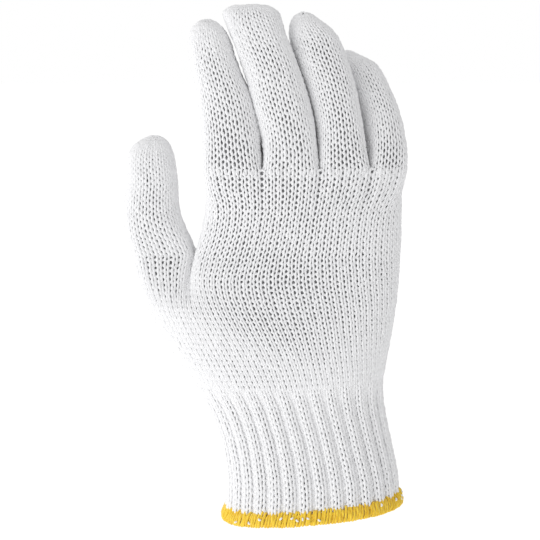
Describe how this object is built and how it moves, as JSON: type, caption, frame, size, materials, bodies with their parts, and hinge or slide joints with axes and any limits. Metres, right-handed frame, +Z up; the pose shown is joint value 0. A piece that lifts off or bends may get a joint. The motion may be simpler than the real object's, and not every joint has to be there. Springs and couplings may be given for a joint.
{
  "type": "cotton work glove",
  "caption": "Seamless knitted cotton work glove for the right hand, in its worn shape, with a ribbed elastic cuff and an overlocked yellow edge.",
  "frame": {"origin": "centre of the wrist opening, in the plane of the hem's lower edge", "axes": "+Z up the hand to the fingertips, +X to the little finger's side, -Y out of the back of the hand"},
  "size_m": [0.1296, 0.0572, 0.237],
  "materials": {
    "cotton_knit": "matt plain-knitted white cotton yarn",
    "cotton_rib": "matt rib-knitted white cotton yarn over elastic",
    "yellow_yarn": "matt fluffy yellow overlock yarn"
  },
  "bodies": {
    "root": {"overlock_hem": "yellow_yarn", "ribbed_cuff": "cotton_rib", "palm_five_finger": "cotton_knit", "palm_four_finger": "cotton_knit", "thumb": "cotton_knit", "index_finger": "cotton_knit", "middle_finger": "cotton_knit", "ring_finger": "cotton_knit", "little_finger": "cotton_knit"}
  },
  "joints": []
}
